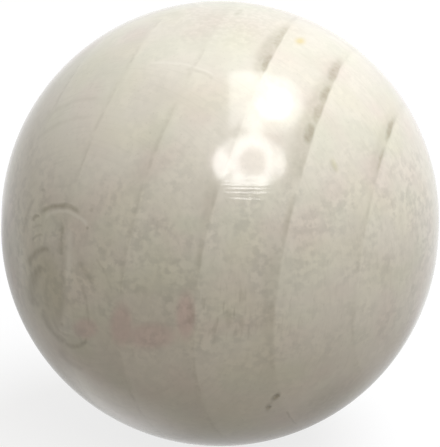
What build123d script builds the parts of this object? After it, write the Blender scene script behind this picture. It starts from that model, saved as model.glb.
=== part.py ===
from build123d import *
import math
import os

# A solid turned ball of pale beech, in millimetres.
# The origin is the middle of the ball. +Z runs along the grain, +X points away from the
# heart of the log, and -Y faces the side on which two small pits lie.

# The ball is two half balls with a narrow straight belt between them, so it is a little longer
# along the grain than it is wide. Wood that was turned round and has dried since then comes
# out like this, because it shrinks across its grain and hardly at all along it.
BALL_WIDTH = 25.0
BELT_HEIGHT = 0.45

# Two small pits, one above the other, where a few fibres were torn out of the lower half.
# A pit's place is an angle round the grain, from +X towards +Y, and an angle down from the
# belt, seen from the middle of the lower half ball.
UPPER_PIT_WIDTH = 0.34
UPPER_PIT_DEPTH = 0.08
UPPER_PIT_ROUND = -70.5
UPPER_PIT_DROP = 28.5
LOWER_PIT_WIDTH = 0.30
LOWER_PIT_DEPTH = 0.07
LOWER_PIT_ROUND = -71.9
LOWER_PIT_DROP = 33.0

# The share of a pit's depth that is an upright wall at its rim. The rest is its dished floor.
PIT_WALL_SHARE = 0.25

QUARTER_TURN = 90.0


def turned_blank():
    """Turn half of the ball's outline once about the grain. Its seam lies at the back."""
    radius = BALL_WIDTH / 2
    half_belt = BELT_HEIGHT / 2
    with BuildPart() as blank:
        with BuildSketch(Plane.YZ):
            with BuildLine():
                CenterArc((0, -half_belt), radius, -QUARTER_TURN, QUARTER_TURN)
                Line((radius, -half_belt), (radius, half_belt))
                CenterArc((0, half_belt), radius, 0, QUARTER_TURN)
                Line((0, half_belt + radius), (0, -half_belt - radius))
            make_face()
        revolve(axis=Axis.Z)
    return blank.part


def lower_surface_plane(angle_round, drop):
    """Return the plane that touches the lower half ball in a direction and faces outward."""
    turn = math.radians(angle_round)
    fall = math.radians(drop)
    outward = Vector(
        math.cos(fall) * math.cos(turn), math.cos(fall) * math.sin(turn), -math.sin(fall)
    )
    middle = Vector(0, 0, -BELT_HEIGHT / 2)
    return Plane(origin=middle + outward * (BALL_WIDTH / 2), z_dir=outward)


def pit_form(width, depth):
    """Return what fills a pit and stands as far out of it, with the surface at height 0."""
    half_width = width / 2
    wall_foot = -depth * PIT_WALL_SHARE
    dish = depth + wall_foot
    dish_radius = (half_width**2 + dish**2) / (2 * dish)
    with BuildPart() as form:
        with BuildSketch(Plane.XZ):
            with BuildLine():
                Line((0, depth), (half_width, depth))
                Line((half_width, depth), (half_width, wall_foot))
                RadiusArc((half_width, wall_foot), (0, -depth), dish_radius)
                Line((0, -depth), (0, depth))
            make_face()
        revolve(axis=Axis.Z)
    return form.part


def make_ball():
    """Make the whole ball: the turned blank, less its two pits."""
    upper_pit = pit_form(UPPER_PIT_WIDTH, UPPER_PIT_DEPTH)
    lower_pit = pit_form(LOWER_PIT_WIDTH, LOWER_PIT_DEPTH)
    upper_place = lower_surface_plane(UPPER_PIT_ROUND, UPPER_PIT_DROP)
    lower_place = lower_surface_plane(LOWER_PIT_ROUND, LOWER_PIT_DROP)
    return turned_blank() - upper_place * upper_pit - lower_place * lower_pit


os.makedirs("parts", exist_ok=True)
export_step(make_ball(), "parts/ball.step")
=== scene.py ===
"""A small ball turned from pale beech under clear lacquer, on white paper in soft light.

Lengths in the classes below are millimetres, as on the bench, and MM turns them into the
frame's metres. The frame's +Z runs along the grain, +X points away from the heart of the
log, and the camera looks at the -Y side.
"""

import logging
import math
from collections.abc import Iterable
from dataclasses import dataclass, replace
from enum import Enum

import bpy
import numpy as np
from mathutils import Matrix, Vector


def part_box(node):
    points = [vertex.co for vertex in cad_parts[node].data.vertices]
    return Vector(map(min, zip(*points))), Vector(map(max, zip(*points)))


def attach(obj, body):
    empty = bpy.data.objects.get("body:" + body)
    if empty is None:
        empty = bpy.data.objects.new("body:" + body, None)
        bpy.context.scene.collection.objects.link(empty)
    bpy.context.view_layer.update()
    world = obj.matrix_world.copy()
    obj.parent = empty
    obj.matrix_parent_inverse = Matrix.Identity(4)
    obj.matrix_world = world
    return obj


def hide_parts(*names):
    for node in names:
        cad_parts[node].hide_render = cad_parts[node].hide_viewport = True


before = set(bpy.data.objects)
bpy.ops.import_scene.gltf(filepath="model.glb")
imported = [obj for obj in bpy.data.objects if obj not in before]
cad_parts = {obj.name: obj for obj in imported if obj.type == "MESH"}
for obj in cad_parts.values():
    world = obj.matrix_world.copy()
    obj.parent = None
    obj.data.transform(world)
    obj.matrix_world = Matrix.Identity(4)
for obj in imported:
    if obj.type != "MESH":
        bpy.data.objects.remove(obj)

MM = 0.001
NODE = "ball"
BODY = "root"

Pair = tuple[float, float]
Triple = tuple[float, float, float]
Socket = bpy.types.NodeSocket
Feed = float | Triple | Socket

log = logging.getLogger("wooden_ball")


def smooth_step(low: float, high: float, value: np.ndarray) -> np.ndarray:
    """Rise smoothly from 0 where value is low to 1 where it is high.

    Args:
        low: where the rise starts.
        high: where it ends, which may be below low for a fall.
        value: the values looked up.

    Returns:
        3s^2 - 2s^3 of the share s of the way from low to high, for each value.
    """
    share = np.clip((value - low) / (high - low), 0.0, 1.0)
    return share * share * (3.0 - 2.0 * share)


class Sum(Enum):
    """The sums that a Math node can do."""

    ADD = "ADD"
    SUBTRACT = "SUBTRACT"
    MULTIPLY = "MULTIPLY"
    DIVIDE = "DIVIDE"
    MAXIMUM = "MAXIMUM"
    FRACTION = "FRACT"
    ABSOLUTE = "ABSOLUTE"
    ANGLE = "ARCTAN2"
    SQUARE_ROOT = "SQRT"


class Graph:
    """The nodes of one material, with short ways to add them."""

    def __init__(self, tree: bpy.types.NodeTree) -> None:
        """Start an empty graph.

        Args:
            tree: the node tree to fill.
        """
        self.tree = tree
        tree.nodes.clear()

    def feed(self, socket: Socket, value: Feed) -> None:
        """Set a socket to a plain value, or link another socket to it.

        Args:
            socket: the input that takes the value.
            value: a number, three numbers or the socket that gives it.
        """
        if isinstance(value, Socket):
            self.tree.links.new(value, socket)
        elif isinstance(value, tuple) and socket.type == "RGBA":
            socket.default_value = (*value, 1.0)
        else:
            socket.default_value = value

    def node(self, kind: str, **settings: object) -> bpy.types.Node:
        """Add a node and set its own properties.

        Args:
            kind: the node's type, as Blender names it.
            settings: its properties by name.

        Returns:
            The new node.
        """
        node = self.tree.nodes.new(kind)
        for name, value in settings.items():
            setattr(node, name, value)
        return node

    def sum(self, what: Sum, *values: Feed) -> Socket:
        """Do one sum on one or two numbers.

        Args:
            what: which sum it is.
            values: the numbers it takes.

        Returns:
            The result.
        """
        node = self.node("ShaderNodeMath", operation=what.value)
        for socket, value in zip(node.inputs, values):
            self.feed(socket, value)
        return node.outputs[0]

    def total(self, *terms: Feed) -> Socket:
        """Return the sum of all the terms.

        Args:
            terms: the numbers to add up.

        Returns:
            Their sum.
        """
        result = terms[0]
        for term in terms[1:]:
            result = self.sum(Sum.ADD, result, term)
        return result

    def product(self, *terms: Feed) -> Socket:
        """Return the product of all the terms.

        Args:
            terms: the numbers to multiply.

        Returns:
            Their product.
        """
        result = terms[0]
        for term in terms[1:]:
            result = self.sum(Sum.MULTIPLY, result, term)
        return result

    def eased(self, value: Feed, gain_and_base: Pair) -> Socket:
        """Return a value times a gain, plus a base."""
        gain, base = gain_and_base
        return self.total(self.product(value, gain), base)

    def largest(self, terms: Iterable[Feed]) -> Socket:
        """Return the largest of all the terms, each taken up as soon as it is made.

        The renderer can hold only so many numbers at a time, so long lists of marks come
        here as generators.

        Args:
            terms: the numbers or sockets to compare.

        Returns:
            The largest of them.
        """
        result: Feed = 0.0
        for term in terms:
            result = self.sum(Sum.MAXIMUM, result, term)
        return result

    def step(self, value: Feed, start: float, end: float) -> Socket:
        """Rise smoothly from 0 where value is start to 1 where it is end.

        Args:
            value: the value looked up.
            start: where the rise starts.
            end: where it ends, which may be below start.

        Returns:
            The height of the step.
        """
        node = self.node("ShaderNodeMapRange", interpolation_type="SMOOTHSTEP")
        falls = start > end
        self.feed(node.inputs["From Min"], min(start, end))
        self.feed(node.inputs["From Max"], max(start, end))
        self.feed(node.inputs["To Min"], 1.0 if falls else 0.0)
        self.feed(node.inputs["To Max"], 0.0 if falls else 1.0)
        self.feed(node.inputs["Value"], value)
        return node.outputs["Result"]

    def own_place(self) -> Socket:
        """Return the place on the object itself, in millimetres."""
        spot = self.node("ShaderNodeTexCoord").outputs["Object"]
        return self.scaled(spot, (1.0 / MM, 1.0 / MM, 1.0 / MM))

    def seen_straight(self) -> Socket:
        """Return 1 where the camera or the lacquer looks, and 0 where light spreads.

        Returns:
            The share, 0 or 1.
        """
        path = self.node("ShaderNodeLightPath").outputs
        return self.largest(
            (path["Is Camera Ray"], path["Is Glossy Ray"], path["Is Transmission Ray"])
        )

    def place(self, x: Feed, y: Feed, z: Feed) -> Socket:
        """Join three numbers into a place.

        Args:
            x: the first number.
            y: the second.
            z: the third.

        Returns:
            The place.
        """
        node = self.node("ShaderNodeCombineXYZ")
        for socket, value in zip(node.inputs, (x, y, z)):
            self.feed(socket, value)
        return node.outputs[0]

    def parts(self, place: Feed) -> tuple[Socket, ...]:
        """Split a place into its three numbers.

        Args:
            place: the place to split.

        Returns:
            Its three numbers.
        """
        node = self.node("ShaderNodeSeparateXYZ")
        self.feed(node.inputs[0], place)
        return tuple(node.outputs)

    def scaled(self, place: Feed, by: Triple) -> Socket:
        """Multiply a place by one number along each axis.

        Args:
            place: the place to scale.
            by: the factor along each axis.

        Returns:
            The scaled place.
        """
        node = self.node("ShaderNodeVectorMath", operation="MULTIPLY")
        self.feed(node.inputs[0], place)
        self.feed(node.inputs[1], by)
        return node.outputs["Vector"]

    def moved(self, place: Feed, by: Feed) -> Socket:
        """Add two places.

        Args:
            place: the place to move.
            by: how far to move it.

        Returns:
            The moved place.
        """
        node = self.node("ShaderNodeVectorMath", operation="ADD")
        self.feed(node.inputs[0], place)
        self.feed(node.inputs[1], by)
        return node.outputs["Vector"]

    def scaled_by(self, colour: Feed, brightness: Feed) -> Socket:
        """Multiply a colour by one number.

        Args:
            colour: the colour to scale.
            brightness: the factor.

        Returns:
            The scaled colour.
        """
        node = self.node("ShaderNodeVectorMath", operation="MULTIPLY")
        self.feed(node.inputs[0], colour)
        self.feed(node.inputs[1], brightness)
        return node.outputs["Vector"]

    def strayed(self, place: Feed, cloud: Feed, reach: float) -> Socket:
        """Move a place by a cloud's colour, up to half of reach each way.

        Args:
            place: the place to move.
            cloud: the cloud's colour.
            reach: the whole width of the movement, in millimetres.

        Returns:
            The moved place.
        """
        node = self.node("ShaderNodeVectorMath", operation="MULTIPLY_ADD")
        self.feed(node.inputs[0], cloud)
        self.feed(node.inputs[1], (reach, reach, reach))
        self.feed(node.inputs[2], (-reach / 2, -reach / 2, -reach / 2))
        return self.moved(place, node.outputs["Vector"])

    def along(self, place: Feed, axis: Triple) -> Socket:
        """Return how far a place lies along an axis.

        Args:
            place: the place to measure.
            axis: the axis's direction.

        Returns:
            The distance along it.
        """
        node = self.node("ShaderNodeVectorMath", operation="DOT_PRODUCT")
        self.feed(node.inputs[0], place)
        self.feed(node.inputs[1], axis)
        return node.outputs["Value"]

    def seen_from(self, place: Feed, middle: Triple, turn: float, scale: Triple) -> Socket:
        """Measure a place from a middle, along turned axes and in their own units.

        Args:
            place: the place.
            middle: the new origin.
            turn: how far the new axes are turned anticlockwise about the third, in degrees.
            scale: the unit along each new axis.

        Returns:
            The place in the new measure.
        """
        node = self.node("ShaderNodeMapping", vector_type="TEXTURE")
        self.feed(node.inputs["Vector"], place)
        self.feed(node.inputs["Location"], middle)
        self.feed(node.inputs["Rotation"], (0.0, 0.0, math.radians(turn)))
        self.feed(node.inputs["Scale"], scale)
        return node.outputs["Vector"]

    def nearness(self, place: Feed, middle: Pair, turn: float, radii: Pair) -> Socket:
        """Return how near to the middle of an oval a place of the plane lies.

        A gradient takes a mapped place straight on, so the renderer holds few numbers.

        Args:
            place: the place on the plane.
            middle: the oval's middle.
            turn: how far its first axis is turned anticlockwise, in degrees.
            radii: its reach along its own two axes.

        Returns:
            1 at the middle, falling evenly to 0 at the oval's line and 0 beyond it.
        """
        spot = self.seen_from(place, (*middle, 0.0), turn, (*radii, 1.0))
        node = self.node("ShaderNodeTexGradient", gradient_type="SPHERICAL")
        self.feed(node.inputs[0], spot)
        return node.outputs["Fac"]

    def cloud(self, place: Feed, size: Triple, detail: float = 2.0) -> bpy.types.Node:
        """Add soft random clouds.

        Args:
            place: the place looked up.
            size: the size of one cloud along each axis.
            detail: how many finer layers of cloud lie on the first.

        Returns:
            The node, whose Fac lies about 0.5 and whose Color holds three such numbers.
        """
        node = self.node("ShaderNodeTexNoise", noise_dimensions="3D")
        self.feed(node.inputs["Vector"], self.seen_from(place, (0.0, 0.0, 0.0), 0.0, size))
        self.feed(node.inputs["Scale"], 1.0)
        self.feed(node.inputs["Detail"], detail)
        return node

    def blend(self, share: Feed, under: Feed, over: Feed) -> Socket:
        """Lay one colour on another.

        Args:
            share: how much of it is laid on, from 0 to 1.
            under: the colour below.
            over: the colour laid on.

        Returns:
            The colour that results.
        """
        node = self.node("ShaderNodeMix", data_type="RGBA")
        colours = [s for s in node.inputs if s.type == "RGBA"]
        self.feed(node.inputs[0], share)
        self.feed(colours[0], under)
        self.feed(colours[1], over)
        return next(s for s in node.outputs if s.type == "RGBA")


@dataclass(frozen=True)
class Sight:
    """The line along which the camera looks at the middle of the ball.

    Marks and highlights are set out in millimetres to the right of the ball's middle and
    above it, on the plane through the middle that faces the camera.

    Attributes:
        height: how far above the level the camera stands, in degrees.
        roll: how far the grain's upper end leans to the right in the image, in degrees.
        distance: how far the camera stands from the middle, in millimetres.
    """

    height: float = 20.8
    roll: float = 3.0
    distance: float = 300.0

    def axes(self) -> tuple[Vector, Vector, Vector]:
        """Return the directions to the right and upwards in the image and to the camera.

        Returns:
            The three directions, each of length 1.
        """
        lift, lean = math.radians(self.height), math.radians(self.roll)
        level_right = Vector((1.0, 0.0, 0.0))
        plain_up = Vector((0.0, math.sin(lift), math.cos(lift)))
        back = Vector((0.0, -math.cos(lift), math.sin(lift)))
        right = level_right * math.cos(lean) + plain_up * math.sin(lean)
        up = plain_up * math.cos(lean) - level_right * math.sin(lean)
        return right, up, back

    def on_plane(self, graph: Graph, place: Feed) -> tuple[Socket, Socket]:
        """Find where a place of the ball is seen on the plane that faces the camera.

        Args:
            graph: the graph to add to.
            place: the place, in millimetres.

        Returns:
            The place on the plane, and 1 on the ball's near side and 0 on its far side.
        """
        right, up, back = (tuple(axis) for axis in self.axes())
        near = graph.along(place, back)
        spread = graph.sum(Sum.DIVIDE, near, self.distance)
        shrink = graph.sum(Sum.SUBTRACT, 1.0, spread)
        across = graph.sum(Sum.DIVIDE, graph.along(place, right), shrink)
        above = graph.sum(Sum.DIVIDE, graph.along(place, up), shrink)
        return graph.place(across, above, 0.0), graph.step(near, 0.0, 1.0)


@dataclass(frozen=True)
class GrowthRings:
    """How the log's yearly rings run through the ball, in millimetres.

    A ring is a wall round the heart of the log. A place's ring number is its distance from
    the heart, less the first wall's, over the width of a year's growth, and the walls lean,
    bow and twist a little along the grain, as in any tree.
    """

    heart: Pair = (-29.15, 9.71)
    first_wall: float = 26.454
    year: float = 3.466
    reference: float = 12.5
    lean: float = 0.316
    bow: float = -1.139
    twist: float = 0.786
    flatness: float = -2.444
    sway: float = 0.35
    sway_size: Triple = (7.0, 7.0, 16.0)
    ripple: float = 0.16
    ripple_size: Triple = (0.6, 0.6, 0.9)

    def number(self, graph: Graph, place: Feed) -> Socket:
        """Return the ring number, whose fraction is the share of the year gone by.

        Args:
            graph: the graph to add to.
            place: the place, in millimetres.

        Returns:
            The number, which grows away from the heart.
        """
        sway = graph.cloud(place, self.sway_size).outputs["Color"]
        ripple = graph.cloud(place, self.ripple_size).outputs["Color"]
        swayed = graph.strayed(graph.strayed(place, sway, self.sway), ripple, self.ripple)
        x, y, z = graph.parts(swayed)
        out = graph.sum(Sum.SUBTRACT, x, self.heart[0])
        side = graph.sum(Sum.SUBTRACT, y, self.heart[1])
        distance = graph.sum(
            Sum.SQUARE_ROOT, graph.total(graph.product(out, out), graph.product(side, side))
        )
        unit = 1.0 / self.reference
        wall = graph.total(
            distance,
            graph.product(z, self.lean * unit),
            graph.product(z, z, self.bow * unit**2),
            graph.product(y, z, self.twist * unit**2),
            graph.product(y, y, self.flatness * unit**2),
            -self.first_wall,
        )
        return graph.sum(Sum.DIVIDE, wall, self.year)


@dataclass(frozen=True)
class Stroke:
    """A thin curved mark through three points of the plane that faces the camera.

    Attributes:
        first: where it starts, in millimetres.
        second: a point on its way.
        third: where it ends.
        width: how wide it looks.
        strength: how much of its colour is laid on, from 0 to 1.
        blur: where its colour ends on each side, as a share of its width.
        reach: how far it runs from its middle, as a share of its length.
        fade: the share of that reach over which its ends fade out.
    """

    first: Pair
    second: Pair
    third: Pair
    width: float
    strength: float
    blur: float = 0.8
    reach: float = 0.575
    fade: float = 0.35

    def circle(self) -> tuple[complex, float]:
        """Return the middle and the radius of the circle through the three points.

        Returns:
            The middle as a complex number, and the radius.
        """
        start, way, end = (complex(*p) for p in (self.first, self.second, self.third))
        ratio = (end - start) / (way - start)
        middle = start + (way - start) * (ratio - abs(ratio) ** 2) / (2j * ratio.imag)
        return middle, abs(start - middle)

    def shade(self, graph: Graph, plane: Feed) -> Socket:
        """Return how much of the mark lies at a place of the plane.

        Args:
            graph: the graph to add to.
            plane: the place on the plane that faces the camera.

        Returns:
            The amount, from 0 to 1.
        """
        middle, radius = self.circle()
        double = 2.0 * radius
        inward = graph.nearness(plane, (middle.real, middle.imag), 0.0, (double, double))
        off = graph.sum(Sum.ABSOLUTE, graph.sum(Sum.SUBTRACT, inward, 0.5))
        line = graph.step(off, self.blur * self.width / double, 0.0)
        chord = Vector(self.third) - Vector(self.first)
        between = tuple((Vector(self.first) + Vector(self.third)) / 2)
        reach = self.reach * chord.length
        inside = graph.nearness(plane, between, 0.0, (reach, reach))
        ends = graph.step(inside, 0.0, self.fade)
        return graph.product(line, ends, self.strength)


@dataclass(frozen=True)
class Patch:
    """A soft oval mark on the plane that faces the camera.

    Attributes:
        middle: its middle, in millimetres.
        radii: its reach along its own two axes.
        strength: how much of its colour is laid on, from 0 to 1.
        turn: how far its first axis is turned anticlockwise, in degrees.
        core: the share of its reach that has its full strength.
    """

    middle: Pair
    radii: Pair
    strength: float
    turn: float = 0.0
    core: float = 0.2

    def shade(self, graph: Graph, plane: Feed) -> Socket:
        """Return how much of the mark lies at a place of the plane."""
        inward = graph.nearness(plane, self.middle, self.turn, self.radii)
        return graph.product(graph.step(inward, 0.0, 1.0 - self.core), self.strength)


@dataclass(frozen=True)
class Tint:
    """A patch of the wood that has a hue of its own."""

    patch: Patch
    colour: Triple


# Where the dark summer wood in front of a ring wall is broad and smudged.
SMUDGES = (
    Patch((3.55, 10.50), (0.85, 1.40), 0.85, -28.0),
    Patch((2.75, 9.15), (0.70, 1.10), 1.0, -30.0),
    Patch((6.60, 8.60), (0.75, 1.20), 0.85, -24.0),
    Patch((6.10, 7.30), (0.80, 1.00), 1.0, -25.0),
    Patch((5.70, 6.30), (0.75, 1.20), 0.85, -20.0),
    Patch((5.10, 5.15), (0.75, 1.10), 0.95, -15.0),
    Patch((4.70, 3.40), (0.60, 1.80), 0.55, -12.0),
    Patch((9.75, 5.30), (0.45, 1.20), 1.0, -15.0),
    Patch((9.28, 3.60), (0.45, 1.30), 0.9, -15.0),
    Patch((8.70, 0.80), (0.45, 2.20), 0.6, -10.0),
    Patch((8.20, -3.20), (0.45, 2.60), 0.5, 0.0),
    Patch((4.00, 0.20), (0.50, 2.20), 0.6, -8.0),
    Patch((-1.05, -2.00), (0.45, 1.80), 0.45, -5.0),
    Patch((-5.50, -3.50), (0.40, 2.60), 0.4, 0.0),
    Patch((-0.30, 1.30), (0.40, 1.30), 0.45, -8.0),
    Patch((-1.60, -5.20), (0.60, 1.20), 0.5, 0.0),
    Patch((3.00, -5.20), (0.50, 1.50), 0.5, 0.0),
)

# Where the summer wood is darker over a greater width, more softly.
BROAD_SMUDGES = (
    Patch((5.45, 5.60), (1.50, 5.00), 0.36, -24.0, 0.5),
    Patch((3.10, 9.70), (1.30, 2.20), 0.50, -28.0, 0.5),
    Patch((9.45, 4.40), (0.80, 2.60), 0.24, -15.0, 0.5),
    Patch((-0.30, 1.50), (0.90, 3.60), 0.20, -10.0, 0.4),
    Patch((2.95, -4.20), (0.90, 4.00), 0.22, 0.0, 0.4),
    Patch((-1.50, -4.60), (0.90, 2.60), 0.22, 0.0, 0.4),
)

# The whorl of fine dark arcs on the left, where the grain runs round a hidden bud.
WHORL = (
    Stroke((-10.26, 0.65), (-9.12, 1.02), (-8.03, 0.68), 0.30, 0.56),
    Stroke((-9.40, 0.98), (-8.80, 1.08), (-8.30, 0.88), 0.22, 0.5),
    Stroke((-10.72, 0.19), (-10.55, 0.39), (-10.32, 0.48), 0.28, 0.55),
    Stroke((-10.72, -0.26), (-10.49, -0.15), (-10.15, -0.09), 0.20, 0.25),
    Stroke((-10.72, -0.95), (-10.43, -0.69), (-10.15, -0.61), 0.22, 0.38),
    Stroke((-10.95, -2.38), (-10.60, -1.75), (-9.75, -1.43), 0.38, 0.56),
    Stroke((-10.20, -2.38), (-10.66, -3.23), (-10.55, -4.75), 0.58, 0.54),
    Stroke((-9.00, -0.05), (-8.99, -2.90), (-9.22, -5.90), 0.40, 0.26),
    Stroke((-8.96, -0.10), (-8.99, -0.80), (-9.05, -1.90), 0.38, 0.44),
    Stroke((-10.15, -5.00), (-9.69, -5.98), (-8.77, -6.83), 0.36, 0.50),
    Stroke((-8.89, -6.83), (-8.32, -7.03), (-7.58, -6.60), 0.30, 0.45),
    Stroke((-8.09, -2.15), (-7.63, -2.78), (-7.23, -3.40), 0.34, 0.30),
    Stroke((-7.98, -3.46), (-7.63, -4.49), (-7.52, -5.80), 0.20, 0.22),
    Stroke((-7.06, -1.98), (-6.89, -2.32), (-6.60, -2.66), 0.18, 0.2),
    Stroke((-11.45, -1.10), (-11.55, -2.60), (-11.20, -4.20), 0.22, 0.22),
    Stroke((-11.10, -0.60), (-11.00, 0.60), (-10.60, 1.50), 0.24, 0.2),
    Stroke((-9.75, -2.90), (-9.95, -3.90), (-9.80, -4.90), 0.22, 0.2),
    Stroke((-9.55, -5.30), (-9.10, -6.20), (-8.50, -6.45), 0.20, 0.22),
    Stroke((-9.20, -7.20), (-8.60, -7.90), (-7.80, -8.35), 0.30, 0.3),
    Stroke((-6.75, -2.60), (-6.35, -3.30), (-6.15, -4.10), 0.20, 0.16),
    Stroke((-9.97, 6.02), (-8.83, 6.76), (-6.83, 7.16), 0.24, 0.14),
    Stroke((-10.30, 4.90), (-9.20, 5.70), (-7.40, 6.10), 0.24, 0.12),
)

# The dark specks along those arcs.
WHORL_SPOTS = (
    Patch((-8.75, 1.06), (0.30, 0.14), 0.5, 10.0),
    Patch((-7.80, -6.83), (0.24, 0.16), 0.5, 20.0),
    Patch((-10.06, -5.05), (0.16, 0.30), 0.4, 20.0),
    Patch((-9.06, -5.75), (0.16, 0.24), 0.35, 30.0),
    Patch((-7.58, -0.26), (0.14, 0.14), 0.4),
    Patch((-7.35, 0.77), (0.18, 0.20), 0.25),
    Patch((-10.09, 1.91), (0.16, 0.16), 0.25),
)

# Single dark marks: fibres torn near the pits, the end grain's specks and a broad darkening on
# the lower left, with painted shade along the ball's lower right edge.
BLEMISHES_AND_PAINTED_EDGE_SHADE = (
    Stroke((3.79, -10.72), (4.08, -11.17), (4.42, -11.52), 0.16, 0.4),
    Patch((1.05, 12.05), (0.64, 0.30), 0.40, 36.0, 0.0),
    Patch((4.20, 11.65), (0.40, 0.20), 0.30, 20.0),
    Stroke((-1.69, 11.96), (-0.55, 11.82), (0.59, 11.93), 0.20, 0.2),
    Stroke((6.31, 3.62), (6.48, 3.28), (6.71, 2.94), 0.20, 0.15),
    Stroke((-1.98, 8.82), (-1.12, 8.65), (-0.32, 8.25), 0.18, 0.16),
    # Painted shade along the lower right edge of the ball.
    Patch((5.28, -10.37), (0.80, 0.55), 0.16, 20.0),
    Patch((0.50, -5.35), (0.34, 0.85), 0.26),
    Patch((1.25, -5.75), (0.26, 0.60), 0.24),
    Patch((-1.75, -4.70), (0.26, 0.80), 0.26),
    Patch((-5.10, -5.60), (0.22, 0.90), 0.18),
    Patch((-2.60, 12.00), (1.20, 0.30), 0.26, 12.0, 0.0),
    Patch((-4.50, 2.60), (1.60, 1.40), 0.07),
    # Painted shade along the lower right edge of the ball, broader.
    Patch((6.30, -10.20), (3.80, 1.30), 0.42, 33.0, 0.1),
    Patch((-3.80, -4.90), (4.80, 3.20), 0.20, 0.0, 0.1),
    Patch((0.20, 12.05), (2.60, 0.45), 0.16, 0.0, 0.0),
)

# Painted shade on the floors of the two pits, and the torn fibre between them.
PAINTED_PIT_SHADE_AND_FIBRE = (
    Patch((3.18, -9.90), (0.50, 0.24), 0.70, 44.0, 0.2),
    Patch((2.76, -10.48), (0.38, 0.22), 0.50, 62.0, 0.2),
    Stroke((2.70, -10.70), (2.92, -10.25), (3.35, -9.75), 0.16, 0.25),
)

# Paler marks: beside the whorl's arcs, two thin arcs, and three broad patches that lighten wide
# areas.
PALE_MARKS = (
    Stroke((-10.00, 0.35), (-9.20, 0.72), (-8.30, 0.52), 0.26, 0.55),
    Stroke((-8.70, 0.68), (-8.20, 0.45), (-7.55, -0.10), 0.26, 0.65),
    Stroke((-3.98, 9.16), (-1.69, 9.02), (-0.21, 8.39), 0.18, 0.4),
    Stroke((-8.62, -0.25), (-8.60, -1.50), (-8.68, -3.20), 0.34, 0.42),
    Patch((0.40, 9.90), (6.00, 3.00), 0.12),
    Patch((-8.20, 4.60), (5.20, 5.20), 0.42),
    Patch((6.40, -4.60), (5.40, 4.60), 0.36),
)

# The hues that lie broadly on the wood.
ROSY = (0.560, 0.438, 0.395)
MOSS = (0.500, 0.530, 0.405)
CREAM = (0.600, 0.575, 0.430)
OLIVE = (0.455, 0.425, 0.310)
RESIN = (0.560, 0.450, 0.170)
STRAW = (0.520, 0.490, 0.300)

TINTS = (
    Tint(Patch((-5.63, -5.80), (0.85, 1.60), 0.78, 0.0, 0.4), ROSY),
    Tint(Patch((-3.90, -6.40), (1.90, 1.00), 0.72, 0.0, 0.4), ROSY),
    Tint(Patch((-1.95, -5.30), (0.75, 1.80), 0.85, 0.0, 0.4), ROSY),
    Tint(Patch((-7.69, -6.00), (0.95, 0.80), 0.68, 0.0, 0.4), ROSY),
    Tint(Patch((0.90, -5.90), (2.20, 0.70), 0.20), ROSY),
    Tint(Patch((-5.20, 5.00), (2.40, 1.30), 0.35), CREAM),
    Tint(Patch((1.20, 10.30), (2.00, 1.40), 0.15), CREAM),
    Tint(Patch((-1.70, -0.10), (1.50, 0.90), 0.25), MOSS),
    Tint(Patch((5.90, 4.60), (1.30, 2.00), 0.25), MOSS),
    Tint(Patch((4.60, -5.20), (1.70, 1.00), 0.22), MOSS),
    Tint(Patch((-10.05, -3.70), (1.50, 3.20), 0.72, 8.0, 0.4), OLIVE),
    Tint(Patch((-8.20, -7.20), (1.80, 0.90), 0.30, -30.0), OLIVE),
    Tint(Patch((4.59, 10.42), (0.46, 0.36), 0.70, 0.0, 0.0), RESIN),
    Tint(Patch((6.55, 3.35), (0.22, 0.60), 0.50, 25.0, 0.0), STRAW),
)


@dataclass(frozen=True)
class Band:
    """A stretch of a value, with soft ends.

    Attributes:
        start: where it starts to rise from 0.
        full: where the rise reaches 1.
        late: where the fall starts.
        end: where it is back at 0.
    """

    start: float
    full: float
    late: float
    end: float

    def height(self, graph: Graph, value: Feed) -> Socket:
        """Return 1 inside the stretch and 0 outside it."""
        rise = graph.step(value, self.start, self.full)
        return graph.product(rise, graph.step(value, self.end, self.late))


@dataclass(frozen=True)
class Clouds:
    """Soft random clouds, cut off below one level and full from another.

    Attributes:
        size: the size of one cloud along each axis, in millimetres.
        detail: how many finer layers of cloud lie on the first.
        clear: the level where nothing of them is left.
        full: the level where they are full, which may be the lower one.
    """

    size: Triple
    detail: float
    clear: float
    full: float

    def cover(self, graph: Graph, place: Feed) -> Socket:
        """Return how much of the clouds lies at a place, from 0 to 1."""
        level = graph.cloud(place, self.size, self.detail).outputs[0]
        return graph.step(level, self.clear, self.full)


@dataclass(frozen=True)
class Spot:
    """What the layers of the wood need to know of a place.

    Attributes:
        place: the place, in millimetres.
        share: the share of the year's growth gone by there.
        plane: the place on the plane that faces the camera.
        near: 1 on the ball's near side and 0 on its far side.
        crumbs: a fine random level that makes marks uneven.
        broken: the same, cut so that it breaks marks up.
    """

    place: Feed
    share: Feed
    plane: Feed
    near: Feed
    crumbs: Feed = 0.0
    broken: Feed = 0.0

    def marks(self, graph: Graph, marks: tuple[Stroke | Patch, ...]) -> Socket:
        """Return the shade of the strongest of the marks here."""
        return graph.largest(mark.shade(graph, self.plane) for mark in marks)


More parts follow.
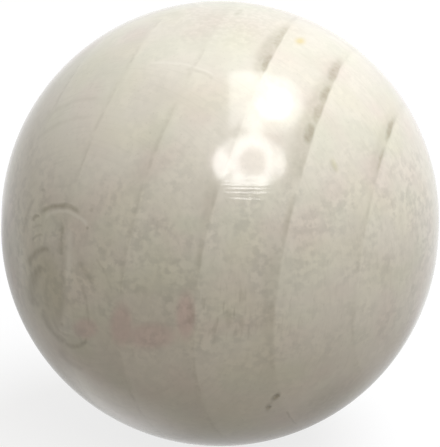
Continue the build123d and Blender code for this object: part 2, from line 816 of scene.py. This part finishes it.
@dataclass(frozen=True)
class Mottle:
    """The wood's fine texture: worm-like blotches, broad clouds and fibres.

    The blotches are strongest across the ball's middle, where the rays are cut aslant.

    Attributes:
        ground: the brightness that the layers change.
        belt: the heights between which the middle lies.
        worms: the blotches.
        worm_depth: how dark they are, as the middle's gain and the base.
        worm_reach: the factor on that depth.
        patches: the levels of the broad clouds that strengthen the blotches.
        patchiness: how much they do so, as gain and base.
        broad: the size of the broad clouds.
        broad_depth: how much they brighten the wood.
        fibre: the size of the fibres.
        fibre_depth: how much they brighten it, as the middle's gain and the base.
    """

    ground: float = 0.972
    belt: Band = Band(-5.0, -2.5, 4.5, 8.5)
    worms: Clouds = Clouds((0.48, 0.48, 0.42), 2.0, 0.64, 0.36)
    worm_depth: Pair = (0.065, 0.035)
    worm_reach: float = -1.15
    patches: Pair = (0.36, 0.64)
    patchiness: Pair = (1.2, 0.4)
    broad: Triple = (1.5, 1.5, 1.2)
    broad_depth: float = 0.13
    fibre: Triple = (0.16, 0.16, 1.0)
    fibre_depth: Pair = (0.03, 0.025)

    def brightness(self, graph: Graph, place: Feed) -> Socket:
        """Return how bright the texture is, about 1.

        Args:
            graph: the graph to add to.
            place: the place, in millimetres.

        Returns:
            The factor for the colour.
        """
        belt = self.belt.height(graph, graph.parts(place)[2])
        worm = self.worms.cover(graph, place)
        broad = graph.cloud(place, self.broad).outputs[0]
        fibre = graph.cloud(place, self.fibre).outputs[0]
        uneven = graph.eased(graph.step(broad, *self.patches), self.patchiness)
        depth = graph.product(graph.eased(belt, self.worm_depth), uneven)
        return graph.total(
            self.ground,
            graph.product(worm, depth, self.worm_reach),
            graph.product(broad, self.broad_depth),
            graph.product(fibre, graph.eased(belt, self.fibre_depth)),
        )


@dataclass(frozen=True)
class Beech:
    """Pale beech with its rings, rays and pores, painted through the whole ball.

    The single marks of the photograph are laid out along the camera's line of sight, on
    the ball's near side only. Pairs named shares are a gain and a base.
    """

    sight: Sight = Sight()
    rings: GrowthRings = GrowthRings()
    mottle: Mottle = Mottle()
    spring_wood: Triple = (0.600, 0.565, 0.485)
    summer_wood: Triple = (0.535, 0.498, 0.425)
    pale: Triple = (0.720, 0.690, 0.610)
    dark: Triple = (0.245, 0.212, 0.138)
    tremble_size: Triple = (0.7, 0.7, 0.7)
    tremble: float = 0.14
    summer_end: Pair = (1.0, 0.88)
    summer_patches: Clouds = Clouds((3.2, 3.2, 3.4), 1.0, 0.34, 0.62)
    summer_shares: Pair = (0.75, 0.25)
    hue_size: Triple = (2.8, 2.8, 2.4)
    hue_levels: Pair = (0.46, 0.76)
    hue_strength: float = 0.24
    spring_line: Band = Band(0.0, 0.04, 0.03, 0.13)
    spring_patches: Clouds = Clouds((1.2, 1.2, 2.5), 2.0, 0.35, 0.6)
    spring_strength: float = 0.12
    crumb_size: Triple = (0.30, 0.30, 0.45)
    crumb_detail: float = 3.0
    crumb_levels: Pair = (0.34, 0.60)
    wall_line: Band = Band(0.88, 0.955, 0.96, 1.0)
    wall_patches: Clouds = Clouds((2.0, 2.0, 2.6), 2.0, 0.30, 0.65)
    wall_shares: Pair = (0.19, 0.03)
    wall_breaks: Pair = (0.7, 0.3)
    whorl_veil: Patch = Patch((-10.5, -1.5), (3.2, 9.5), 1.0, 0.0, 0.7)
    veil_strength: float = 0.8
    smudge: Band = Band(0.64, 0.90, 0.955, 1.0)
    smudge_shares: Pair = (0.9, 0.35)
    smudge_strength: float = 0.74
    haze: Band = Band(0.45, 0.88, 0.96, 1.0)
    haze_shares: Pair = (0.8, 0.3)
    drawn_shares: Pair = (0.25, 0.75)
    ray: Clouds = Clouds((3.0, 0.12, 1.00), 1.0, 0.50, 0.76)
    ray_zone: Patch = Patch((-1.5, -5.2), (8.0, 2.4), 0.20, 0.0, 0.3)
    ray_base: float = 0.06
    pore: Clouds = Clouds((0.13, 0.13, 0.34), 1.0, 0.64, 0.76)
    pore_strength: float = 0.11
    end_grain: Pair = (11.6, 12.6)
    end_grain_base: float = 0.5
    end_grain_strength: float = 0.12

    def colour(self, graph: Graph, place: Feed) -> Socket:
        """Return the wood's colour at a place, in millimetres.

        Args:
            graph: the graph to add to.
            place: the place, in millimetres.

        Returns:
            The colour.
        """
        share = graph.sum(Sum.FRACTION, self.rings.number(graph, place))
        plane, near = self.sight.on_plane(graph, place)
        tremble = graph.cloud(place, self.tremble_size).outputs["Color"]
        plane = graph.strayed(plane, tremble, self.tremble)
        spot = Spot(place, share, plane, near)
        fade = self.summer_patches.cover(graph, place)
        season = graph.product(
            share,
            share,
            graph.step(share, *self.summer_end),
            graph.eased(fade, self.summer_shares),
        )
        wood = graph.blend(season, self.spring_wood, self.summer_wood)
        wood = self.hues(graph, spot, wood)
        wood = graph.scaled_by(wood, self.mottle.brightness(graph, place))
        wood = graph.blend(self.pale_marks(graph, spot), wood, self.pale)
        return graph.blend(self.dark_marks(graph, spot), wood, self.dark)

    def hues(self, graph: Graph, spot: Spot, wood: Feed) -> Socket:
        """Lay the broad hues on the wood.

        Args:
            graph: the graph to add to.
            spot: the place.
            wood: the wood's colour.

        Returns:
            The new colour.
        """
        drift = graph.parts(graph.cloud(spot.place, self.hue_size, 0.0).outputs["Color"])
        for cloud, hue in zip(drift, (ROSY, MOSS, CREAM)):
            share = graph.product(graph.step(cloud, *self.hue_levels), self.hue_strength)
            wood = graph.blend(share, wood, hue)
        for tint in TINTS:
            share = graph.product(tint.patch.shade(graph, spot.plane), spot.near)
            wood = graph.blend(share, wood, tint.colour)
        return wood

    def pale_marks(self, graph: Graph, spot: Spot) -> Socket:
        """Return how much of the pale colour lies at a place, from 0 to 1.

        Args:
            graph: the graph to add to.
            spot: the place and what is known of it.

        Returns:
            The amount.
        """
        patchy = self.spring_patches.cover(graph, spot.place)
        line = self.spring_line.height(graph, spot.share)
        strokes = graph.product(spot.marks(graph, PALE_MARKS), spot.near)
        return graph.largest((graph.product(line, patchy, self.spring_strength), strokes))

    def dark_marks(self, graph: Graph, bare: Spot) -> Socket:
        """Return how much of the dark colour lies at a place, from 0 to 1.

        Args:
            graph: the graph to add to.
            bare: the place and what is known of it, still without the crumbs.

        Returns:
            The amount.
        """
        crumbs = graph.cloud(bare.place, self.crumb_size, self.crumb_detail).outputs[0]
        broken = graph.step(crumbs, *self.crumb_levels)
        spot = replace(bare, crumbs=crumbs, broken=broken)
        layers = (
            self.wall_lines,
            self.smudges,
            self.hazes,
            self.drawn_marks,
            self.rays,
            self.pores,
            self.end_grains,
        )
        return graph.largest(layer(graph, spot) for layer in layers)

    def wall_lines(self, graph: Graph, spot: Spot) -> Socket:
        """Return the broken dark lines where a year ends, which fade out in the whorl.

        Args:
            graph: the graph to add to.
            spot: the place and what is known of it.

        Returns:
            The amount, from 0 to 1.
        """
        patchy = self.wall_patches.cover(graph, spot.place)
        veil = self.whorl_veil.shade(graph, spot.plane)
        hidden = graph.product(veil, spot.near, self.veil_strength)
        return graph.product(
            self.wall_line.height(graph, spot.share),
            graph.eased(patchy, self.wall_shares),
            graph.eased(spot.broken, self.wall_breaks),
            graph.sum(Sum.SUBTRACT, 1.0, hidden),
        )

    def smudges(self, graph: Graph, spot: Spot) -> Socket:
        """Return the dark smudges in front of some of the ring walls.

        Args:
            graph: the graph to add to.
            spot: the place and what is known of it.

        Returns:
            The amount, from 0 to 1.
        """
        return graph.product(
            self.smudge.height(graph, spot.share),
            spot.marks(graph, SMUDGES),
            spot.near,
            graph.eased(spot.crumbs, self.smudge_shares),
            self.smudge_strength,
        )

    def hazes(self, graph: Graph, spot: Spot) -> Socket:
        """Return the softer darkening that reaches farther from the ring walls.

        Args:
            graph: the graph to add to.
            spot: the place and what is known of it.

        Returns:
            The amount, from 0 to 1.
        """
        return graph.product(
            self.haze.height(graph, spot.share),
            spot.marks(graph, BROAD_SMUDGES),
            spot.near,
            graph.eased(spot.crumbs, self.haze_shares),
        )

    def drawn_marks(self, graph: Graph, spot: Spot) -> Socket:
        """Return the whorl, the single blemishes, painted edge shade and painted shade in the
        two pits.

        Args:
            graph: the graph to add to.
            spot: the place and what is known of it.

        Returns:
            The amount, from 0 to 1.
        """
        thin = graph.eased(spot.broken, self.drawn_shares)
        # The blemishes carry painted shade along the ball's lower right edge.
        drawn = spot.marks(graph, (*WHORL, *WHORL_SPOTS, *BLEMISHES_AND_PAINTED_EDGE_SHADE))
        # Painted shade in the two pits, with the torn fibre between them.
        painted_pit_shade_and_fibre = spot.marks(graph, PAINTED_PIT_SHADE_AND_FIBRE)
        return graph.product(graph.largest((graph.product(drawn, thin), painted_pit_shade_and_fibre)), spot.near)

    def rays(self, graph: Graph, spot: Spot) -> Socket:
        """Return how dark the wood's rays are.

        A ray is a thin sheet that runs outwards from the log's heart, so it shows as a short
        dash along the grain where the surface faces the heart or away from it.

        Args:
            graph: the graph to add to.
            spot: the place and what is known of it.

        Returns:
            The amount, from 0 to 1.
        """
        x, y, z = graph.parts(spot.place)
        out = graph.sum(Sum.SUBTRACT, x, self.rings.heart[0])
        side = graph.sum(Sum.SUBTRACT, y, self.rings.heart[1])
        angle = graph.sum(Sum.ANGLE, side, out)
        arc = graph.product(angle, -self.rings.heart[0])
        dash = self.ray.cover(graph, graph.place(out, arc, z))
        zone = graph.product(self.ray_zone.shade(graph, spot.plane), spot.near)
        return graph.product(dash, graph.total(zone, self.ray_base))

    def pores(self, graph: Graph, spot: Spot) -> Socket:
        """Return the fine dark pores."""
        return graph.product(self.pore.cover(graph, spot.place), self.pore_strength)

    def end_grains(self, graph: Graph, spot: Spot) -> Socket:
        """Return the darker specks where the fibres end, at the top and the bottom.

        Args:
            graph: the graph to add to.
            spot: the place and what is known of it.

        Returns:
            The amount, from 0 to 1.
        """
        height = graph.sum(Sum.ABSOLUTE, graph.parts(spot.place)[2])
        return graph.product(
            graph.step(height, *self.end_grain),
            graph.total(spot.broken, self.end_grain_base),
            self.end_grain_strength,
        )


@dataclass(frozen=True)
class Lacquer:
    """A clear glossy coat, with faint waves left round the ball by the lathe.

    Attributes:
        roughness: how rough it is.
        index: its refractive index.
        wave_size: the size of the broad waves.
        wave_gain: how much higher they are than the fine lines.
        line_size: the size of the fine lines.
        deep_lines: where the lines are deeper, and how many times deeper.
        height: the height of the fine lines, in millimetres.
    """

    roughness: float = 0.125
    index: float = 1.43
    wave_size: Triple = (1.6, 1.6, 0.9)
    wave_gain: float = 6.0
    line_size: Triple = (4.0, 4.0, 0.12)
    deep_lines: Patch = Patch((1.35, 1.65), (1.90, 1.10), 50.0)
    height: float = 0.0004

    def normal(self, graph: Graph, place: Feed, sight: Sight) -> Socket:
        """Return the way the lacquer faces.

        Args:
            graph: the graph to add to.
            place: the place, in millimetres.
            sight: the camera's line of sight, on which the deeper lines are laid out.

        Returns:
            The direction.
        """
        wide = graph.cloud(place, self.wave_size, 1.0).outputs[0]
        fine = graph.cloud(place, self.line_size, 1.0).outputs[0]
        plane, near = sight.on_plane(graph, place)
        deep = graph.product(self.deep_lines.shade(graph, plane), near)
        lines = graph.product(fine, graph.total(deep, 1.0))
        bump = graph.node("ShaderNodeBump")
        waves = graph.total(graph.product(wide, self.wave_gain), lines)
        graph.feed(bump.inputs["Height"], waves)
        graph.feed(bump.inputs["Distance"], self.height * MM)
        return bump.outputs[0]


@dataclass(frozen=True)
class LacqueredBeech:
    """The ball's finish: the wood under its lacquer."""

    wood: Beech = Beech()
    lacquer: Lacquer = Lacquer()
    wood_roughness: float = 0.6
    wood_gloss: float = 0.05

    def material(self) -> bpy.types.Material:
        """Make the material.

        Returns:
            The new material.
        """
        material = bpy.data.materials.new("lacquered_beech")
        material.use_nodes = True
        graph = Graph(material.node_tree)
        place = graph.own_place()
        shader = graph.node("ShaderNodeBsdfPrincipled")
        graph.feed(shader.inputs["Base Color"], self.wood.colour(graph, place))
        normal = self.lacquer.normal(graph, place, self.wood.sight)
        graph.feed(shader.inputs["Coat Normal"], normal)
        graph.feed(shader.inputs["Roughness"], self.wood_roughness)
        graph.feed(shader.inputs["Specular IOR Level"], self.wood_gloss)
        graph.feed(shader.inputs["Coat Weight"], 1.0)
        graph.feed(shader.inputs["Coat Roughness"], self.lacquer.roughness)
        graph.feed(shader.inputs["Coat IOR"], self.lacquer.index)
        out = graph.node("ShaderNodeOutputMaterial")
        graph.feed(out.inputs["Surface"], shader.outputs[0])
        return material


@dataclass(frozen=True)
class Pit:
    """A small pit where fibres were torn out, in millimetres and degrees.

    Attributes:
        turn: its direction round the grain from +X towards +Y.
        drop: its direction below the belt, seen from the middle of the lower half ball.
        width: how wide it is.
        depth: how deep it is.
        wall_share: the share of its depth that is an upright wall at its rim.
        wall: where that wall starts and ends, as shares of the half width.
    """

    turn: float
    drop: float
    width: float
    depth: float
    wall_share: float = 0.25
    wall: Pair = (1.08, 0.90)

    def direction(self) -> np.ndarray:
        """Return the way out of the ball at the pit.

        Returns:
            The direction, of length 1.
        """
        turn, drop = math.radians(self.turn), math.radians(self.drop)
        level = math.cos(drop)
        return np.array([level * math.cos(turn), level * math.sin(turn), -math.sin(drop)])

    def dent(self, points: np.ndarray, radius: float) -> np.ndarray:
        """Return how deep the pit is at each point.

        Inside the rim the depth is the wall's and a dish of (1 - d^2), where d is the
        distance from the pit's middle over its half width.

        Args:
            points: directions from the middle of the lower half ball, one per row.
            radius: the half ball's radius, in millimetres.

        Returns:
            The depth at each point, in millimetres.
        """
        apart = np.linalg.norm(points - self.direction(), axis=-1) * radius
        share = apart / (self.width / 2)
        dish = np.clip(1.0 - share**2, 0.0, 1.0)
        inside = smooth_step(*self.wall, share)
        return self.depth * inside * (self.wall_share + (1.0 - self.wall_share) * dish)


PITS = (Pit(-70.5, 28.5, 0.34, 0.08), Pit(-71.9, 33.0, 0.30, 0.07))


@dataclass(frozen=True)
class Crowding:
    """Steps of an angle that lie closer together round one place.

    Attributes:
        low: where the angle starts, in degrees.
        high: where it ends.
        count: how many steps there are.
        middle: where the steps are closest.
        reach: how far the crowd reaches each way.
        gain: how many times closer than elsewhere they are there, less 1.
        samples: how many places the density is worked out at.
    """

    low: float
    high: float
    count: int
    middle: float
    reach: float
    gain: float
    samples: int = 20001

    def angles(self) -> np.ndarray:
        """Return the angles of all the steps, both ends included, in radians.

        The density of steps is 1 + gain exp(-((angle - middle) / reach)^2), and the angles
        cut its running total into equal parts.

        Returns:
            The angles in rising order.
        """
        fine = np.linspace(self.low, self.high, self.samples)
        density = 1.0 + self.gain * np.exp(-(((fine - self.middle) / self.reach) ** 2))
        total = np.concatenate([[0.0], np.cumsum((density[1:] + density[:-1]) / 2)])
        wanted = np.linspace(0.0, total[-1], self.count + 1)
        return np.radians(np.interp(wanted, total, fine))


@dataclass(frozen=True)
class Ball:
    """The ball: two half balls with a narrow straight belt between them, and two pits.

    Attributes:
        radius: the half balls' radius, in metres.
        half_length: half of the ball's length along the grain, in metres.
        columns: the steps round the grain.
        rows: the steps along it.
        finish: the wood and its lacquer.
    """

    radius: float
    half_length: float
    columns: Crowding = Crowding(-251.0, 109.0, 384, -71.2, 2.4, 6.0)
    rows: Crowding = Crowding(-90.0, 90.0, 238, -30.7, 4.2, 5.0)
    finish: LacqueredBeech = LacqueredBeech()

    @classmethod
    def from_frame(cls) -> "Ball":
        """Take the ball's size from its solid."""
        low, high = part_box(NODE)
        return cls(radius=(high[0] - low[0]) / 2, half_length=(high[2] - low[2]) / 2)

    def surface(self, turn: np.ndarray, rise: np.ndarray) -> np.ndarray:
        """Return points of the surface, in metres.

        A point is the middle of its half ball, which lies up or down by half the belt's
        height, and radius (cos(rise) cos(turn), cos(rise) sin(turn), sin(rise)), less the
        pits' depth along the same direction.

        Args:
            turn: angles round the grain, in radians.
            rise: angles along it from the belt, in radians, of the same shape.

        Returns:
            The points, with one more axis for their three coordinates.
        """
        level = np.cos(rise)
        way = np.stack([level * np.cos(turn), level * np.sin(turn), np.sin(rise)], axis=-1)
        dent = sum(pit.dent(way, self.radius / MM) for pit in PITS) * MM
        points = way * (self.radius - dent)[..., None]
        points[..., 2] += np.sign(rise) * (self.half_length - self.radius)
        return points

    def mesh(self) -> bpy.types.Mesh:
        """Make the surface as rows and columns, closed at both ends of the grain.

        Returns:
            The mesh, in metres.
        """
        turn = self.columns.angles()[:-1]
        rise = self.rows.angles()[1:-1]
        grid = self.surface(*np.meshgrid(turn, rise))
        rows, columns = grid.shape[:2]
        ends = np.array([[0.0, 0.0, -self.half_length], [0.0, 0.0, self.half_length]])
        points = np.concatenate([grid.reshape(-1, 3), ends])
        index = np.arange(rows * columns).reshape(rows, columns)
        after = np.roll(index, -1, axis=1)
        quads = np.stack([index[:-1], after[:-1], after[1:], index[1:]], axis=-1).reshape(-1, 4)
        low_end, high_end = len(points) - 2, len(points) - 1
        low_fan = np.stack([after[0], index[0], np.full(columns, low_end)], axis=-1)
        high_fan = np.stack([index[-1], after[-1], np.full(columns, high_end)], axis=-1)
        faces = quads.tolist() + low_fan.tolist() + high_fan.tolist()
        mesh = bpy.data.meshes.new("turned_ball")
        mesh.from_pydata(points.tolist(), [], faces)
        mesh.polygons.foreach_set("use_smooth", np.ones(len(faces), dtype=bool))
        mesh.update()
        return mesh

    def build(self) -> bpy.types.Object:
        """Make the finished ball and put it in the place of its solid.

        Returns:
            The ball's object.
        """
        ball = bpy.data.objects.new("turned_ball", self.mesh())
        bpy.context.scene.collection.objects.link(ball)
        ball.data.materials.append(self.finish.material())
        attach(ball, BODY)
        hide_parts(NODE)
        return ball

    def mirrored(self, sight: Sight, seen: Pair) -> tuple[Vector, Vector]:
        """Follow the camera's line to a point of the plane that faces it, and its reflection.

        Args:
            sight: the camera's line of sight.
            seen: the point of the plane, in millimetres.

        Returns:
            Where the line meets the ball, in metres, and the way it goes on from there.
        """
        right, up, back = sight.axes()
        eye = back * sight.distance * MM
        ray = (right * seen[0] + up * seen[1]) * MM - eye
        size = Vector((1.0 / self.radius, 1.0 / self.radius, 1.0 / self.half_length))
        start, way = eye * size, ray * size
        half_b, c = start.dot(way), start.dot(start) - 1.0
        root = math.sqrt(half_b**2 - way.dot(way) * c)
        spot = eye + ray * ((-half_b - root) / way.dot(way))
        normal = (spot * size * size).normalized()
        return spot, ray.reflect(normal).normalized()


@dataclass(frozen=True)
class GlareCard:
    """A plain glowing card, given by where and in what shape the lacquer shows it.

    Attributes:
        name: what it is.
        brightness: how bright it is, where white paper is 1.
        distance: how far from the ball it stands, in millimetres.
        middle: the glare's middle on the plane that faces the camera, in millimetres.
        radii: half of its width and of its height.
        corners: how many corners its outline has, 4 for a box and many for an oval.
        hole: the share of its radii that is cut out of its middle.
    """

    name: str
    brightness: float
    distance: float
    middle: Pair
    radii: Pair
    corners: int = 32
    hole: float = 0.0

    def outline(self, share: float) -> list[Pair]:
        """Return the outline drawn in to a share of the radii, back to its first corner.

        A box has its corners at its radii, and an oval has corners along its line.

        Args:
            share: the share of the radii, where 1 is the outer edge.

        Returns:
            The corners on the plane that faces the camera.
        """
        is_box = self.corners == 4
        first = math.pi / 4 if is_box else 0.0
        reach = share * (math.sqrt(2.0) if is_box else 1.0)
        turns = [first + 2.0 * math.pi * i / self.corners for i in range(self.corners + 1)]
        return [
            (
                self.middle[0] + self.radii[0] * reach * math.cos(turn),
                self.middle[1] + self.radii[1] * reach * math.sin(turn),
            )
            for turn in turns
        ]

    def material(self) -> bpy.types.Material:
        """Make the card's even glow.

        Returns:
            The new material.
        """
        material = bpy.data.materials.new(self.name)
        material.use_nodes = True
        graph = Graph(material.node_tree)
        glow = graph.node("ShaderNodeEmission")
        graph.feed(glow.inputs["Strength"], self.brightness)
        out = graph.node("ShaderNodeOutputMaterial")
        graph.feed(out.inputs["Surface"], glow.outputs[0])
        return material

    def build(self, ball: Ball, sight: Sight) -> bpy.types.Object:
        """Put the card where its reflection is seen as wanted.

        Each corner lies on the camera's line to the glare's edge, mirrored by the ball, and
        the card is the strip between the outer edge and the hole's. Only the lacquer shows
        it.

        Args:
            ball: the ball that mirrors the card.
            sight: the camera's line of sight.

        Returns:
            The card's object.
        """
        outer, inner = self.outline(1.0), self.outline(self.hole)
        rays = [ball.mirrored(sight, point) for point in outer + inner]
        points = [spot + way * self.distance * MM for spot, way in rays]
        count = len(outer)
        faces = [(i, i + 1, count + i + 1, count + i) for i in range(count - 1)]
        mesh = bpy.data.meshes.new(self.name)
        mesh.from_pydata([tuple(p) for p in points], [], faces)
        card = bpy.data.objects.new(self.name, mesh)
        card.data.materials.append(self.material())
        card.visible_camera = False
        card.visible_diffuse = False
        card.visible_shadow = False
        bpy.context.scene.collection.objects.link(card)
        return card


@dataclass(frozen=True)
class SoftLamp:
    """A large soft lamp that lights the wood, out of the lacquer's sight.

    Attributes:
        name: what it is.
        azimuth: its direction round the grain from +X towards +Y, in degrees.
        height: its direction above the level, in degrees.
        level: how bright white paper that faces it becomes.
        colour: its light's colour.
        distance: how far from the ball it stands, in millimetres.
        size: how wide it is, in millimetres.
    """

    name: str
    azimuth: float
    height: float
    level: float
    colour: Triple
    distance: float = 500.0
    size: float = 420.0

    def build(self) -> bpy.types.Object:
        """Put the lamp in the scene.

        A disc of radius r at a distance d gives white paper the level
        power / (pi^2 (r^2 + d^2)).

        Returns:
            The lamp's object.
        """
        turn, lift = math.radians(self.azimuth), math.radians(self.height)
        flat = math.cos(lift)
        way = Vector((flat * math.cos(turn), flat * math.sin(turn), math.sin(lift)))
        reach, radius = self.distance * MM, self.size * MM / 2
        data = bpy.data.lights.new(self.name, "AREA")
        data.shape = "DISK"
        data.size = 2 * radius
        data.color = self.colour
        data.energy = self.level * math.pi**2 * (radius**2 + reach**2)
        lamp = bpy.data.objects.new(self.name, data)
        lamp.location = way * reach
        lamp.rotation_euler = (-way).to_track_quat("-Z", "Y").to_euler()
        lamp.visible_glossy = False
        bpy.context.scene.collection.objects.link(lamp)
        return lamp


@dataclass(frozen=True)
class Camera:
    """The camera, aimed at the middle of the ball.

    Attributes:
        sight: its line of sight.
        sensor: its sensor's height, in millimetres.
        image_height: the image's height, in pixels.
        ball_width: how wide the ball is in the image, in pixels.
    """

    sight: Sight = Sight()
    sensor: float = 24.0
    image_height: int = 447
    ball_width: float = 438.0

    def build(self, ball: Ball) -> bpy.types.Object:
        """Put the camera in the scene and use it.

        Args:
            ball: the ball, whose width sets the lens.

        Returns:
            The camera's object.
        """
        half_angle = math.asin(ball.radius / MM / self.sight.distance)
        image_half = math.tan(half_angle) * self.image_height / self.ball_width
        data = bpy.data.cameras.new("camera")
        data.sensor_fit = "VERTICAL"
        data.sensor_height = self.sensor
        data.lens = self.sensor / 2 / image_half
        data.clip_start = 10.0 * MM
        camera = bpy.data.objects.new("camera", data)
        right, up, back = self.sight.axes()
        turn = Matrix((right, up, back)).transposed()
        middle = back * self.sight.distance * MM
        camera.matrix_world = Matrix.Translation(middle) @ turn.to_4x4()
        bpy.context.scene.collection.objects.link(camera)
        bpy.context.scene.camera = camera
        return camera


@dataclass(frozen=True)
class Studio:
    """The white paper, the light all round, the lamps and the glowing cards.

    Attributes:
        sight: the camera's line of sight.
        paper_half: half of the paper's width, in millimetres.
        paper_colour: its colour where the camera or the lacquer sees it.
        paper_bounce: its colour for the light that it throws back at the ball.
        paper_glow: the share of plain white in what is seen of it.
        sky_level: how bright the light all round is, where white is 1.
        sky_colour: its colour.
        pools: painted pools of light and shade on the paper, in millimetres from under the
            ball, which only the lacquer shows, as painted reflections. Their strength is added
            to the glow.
        lamps: the soft lamps.
        cards: the cards that the lacquer shows as glares.
    """

    sight: Sight = Sight()
    paper_half: float = 3000.0
    paper_colour: Triple = (0.80, 0.80, 0.80)
    paper_bounce: Triple = (0.255, 0.230, 0.200)
    paper_glow: float = 0.80
    sky_level: float = 0.40
    sky_colour: Triple = (1.0, 0.963, 0.885)
    lamps: tuple[SoftLamp, ...] = (
        SoftLamp("key", 30.0, 65.0, 0.95, (0.965, 0.99, 1.055)),
        SoftLamp("front", -68.0, 50.0, 0.35, (1.0, 1.0, 1.0)),
    )
    pools: tuple[Patch, ...] = (
        Patch((-21.5, 17.0), (27.0, 13.0), -0.45, 124.0, 0.3),
        Patch((-7.5, -5.2), (8.5, 4.2), 0.60, -30.0, 0.3),
        Patch((12.5, 2.5), (18.0, 9.0), -0.34, 44.0, 0.3),
    )
    cards: tuple[GlareCard, ...] = (
        GlareCard("window_glow", 5.2, 310.0, (2.95, 6.82), (1.78, 1.66)),
        GlareCard("window_pane", 6.4, 305.0, (1.62, 7.08), (1.10, 1.60), 4),
        GlareCard("window_core", 14.0, 295.0, (3.12, 6.86), (0.98, 0.90)),
        GlareCard("window_foot", 9.0, 290.0, (2.00, 5.40), (0.42, 0.72), 4),
        GlareCard("round_shade", 7.0, 300.0, (1.68, 3.57), (2.00, 1.56)),
        GlareCard("left_lobe", 16.0, 290.0, (0.06, 3.40), (0.46, 0.88)),
        GlareCard("right_lobe", 11.0, 290.0, (3.45, 3.45), (0.28, 0.80)),
        GlareCard("round_foot", 15.0, 280.0, (1.62, 2.35), (1.15, 0.36)),
        GlareCard("round_hole", 5.0, 295.0, (1.85, 3.51), (0.85, 0.85)),
        GlareCard("round_ring", 13.0, 285.0, (1.85, 3.51), (1.26, 1.46), 32, 0.62),
    )

    def world(self) -> None:
        """Light the scene evenly, with white where the camera or the lacquer looks out."""
        world = bpy.data.worlds.new("studio")
        bpy.context.scene.world = world
        world.use_nodes = True
        graph = Graph(world.node_tree)
        seen = graph.seen_straight()
        sky = graph.node("ShaderNodeBackground")
        graph.feed(sky.inputs["Color"], self.sky_colour)
        graph.feed(sky.inputs["Strength"], self.sky_level)
        white = graph.node("ShaderNodeBackground")
        graph.feed(white.inputs["Color"], (1.0, 1.0, 1.0))
        graph.feed(white.inputs["Strength"], 1.0)
        mix = graph.node("ShaderNodeMixShader")
        graph.feed(mix.inputs[0], seen)
        graph.feed(mix.inputs[1], sky.outputs[0])
        graph.feed(mix.inputs[2], white.outputs[0])
        out = graph.node("ShaderNodeOutputWorld")
        graph.feed(out.inputs["Surface"], mix.outputs[0])

    def paper(self) -> bpy.types.Material:
        """Make the paper's material, which looks white and takes the ball's shadow.

        Returns:
            The new material.
        """
        material = bpy.data.materials.new("white_paper")
        material.use_nodes = True
        graph = Graph(material.node_tree)
        seen = graph.seen_straight()
        plain = graph.node("ShaderNodeBsdfDiffuse")
        face = graph.blend(seen, self.paper_bounce, self.paper_colour)
        graph.feed(plain.inputs["Color"], face)
        x, y, _ = graph.parts(graph.own_place())
        place = graph.place(x, y, 0.0)
        # Painted pools of light and shade on the paper, seen only in the lacquer's reflection.
        shades = graph.total(*(pool.shade(graph, place) for pool in self.pools))
        path = graph.node("ShaderNodeLightPath").outputs
        glow = graph.node("ShaderNodeEmission")
        mirrored = graph.product(shades, path["Is Glossy Ray"])
        graph.feed(glow.inputs["Strength"], graph.total(mirrored, 1.0))
        mix = graph.node("ShaderNodeMixShader")
        graph.feed(mix.inputs[0], graph.product(seen, self.paper_glow))
        graph.feed(mix.inputs[1], plain.outputs[0])
        graph.feed(mix.inputs[2], glow.outputs[0])
        out = graph.node("ShaderNodeOutputMaterial")
        graph.feed(out.inputs["Surface"], mix.outputs[0])
        return material

    def floor(self, height: float) -> bpy.types.Object:
        """Lay the paper at a height in metres.

        Args:
            height: the paper's height, in metres.

        Returns:
            The paper's object.
        """
        half = self.paper_half * MM
        corners = [(-half, -half), (half, -half), (half, half), (-half, half)]
        mesh = bpy.data.meshes.new("paper")
        mesh.from_pydata([(x, y, height) for x, y in corners], [], [(0, 1, 2, 3)])
        floor = bpy.data.objects.new("paper", mesh)
        floor.data.materials.append(self.paper())
        bpy.context.scene.collection.objects.link(floor)
        return floor

    def build(self, ball: Ball) -> None:
        """Set up the whole studio round the ball, which stands on the paper.

        Args:
            ball: the ball, which the cards and the paper are set out round.
        """
        self.world()
        self.floor(-ball.half_length)
        for lamp in self.lamps:
            lamp.build()
        for card in self.cards:
            card.build(ball, self.sight)


def main() -> None:
    """Build the ball, the studio and the camera."""
    logging.basicConfig(level=logging.INFO, format="%(message)s")
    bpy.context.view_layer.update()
    bpy.context.scene.view_settings.view_transform = "Standard"
    ball = Ball.from_frame()
    piece = ball.build()
    log.info("%s: %d faces", piece.name, len(piece.data.polygons))
    Studio().build(ball)
    Camera().build(ball)


if __name__ == "__main__":
    main()
